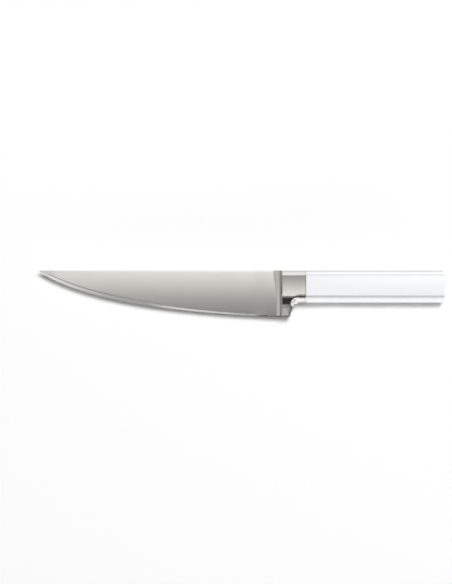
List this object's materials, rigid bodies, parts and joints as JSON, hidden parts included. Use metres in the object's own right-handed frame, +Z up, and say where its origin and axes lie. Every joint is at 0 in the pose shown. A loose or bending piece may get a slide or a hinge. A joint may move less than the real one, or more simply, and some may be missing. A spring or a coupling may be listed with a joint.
{
  "type": "kitchen knife",
  "caption": "Forged kitchen knife with a satin steel blade, a steel bolster with a finger guard, and a plain white handle held on a hidden tang.",
  "frame": {"origin": "middle of the bounding box at table height, with the knife lying on its side", "axes": "+X from the tip of the blade to the butt of the handle, +Y from the cutting edge to the spine, +Z up through the thickness"},
  "size_m": [0.3368, 0.0382, 0.0186],
  "materials": {
    "blade_steel": "satin ground",
    "bolster_steel": "fine satin",
    "handle_white": "glossy white",
    "resin": "cured resin",
    "fastener_steel": "plain turned steel"
  },
  "bodies": {
    "root": {"blade": "blade_steel", "bolster": "bolster_steel", "handle": "handle_white", "butt_plug": "handle_white", "tang_bedding": "resin", "upper_dowel": "fastener_steel", "lower_dowel": "fastener_steel", "tang_washer": "fastener_steel", "tang_spring": "fastener_steel", "tang_nut": "fastener_steel"}
  },
  "joints": []
}
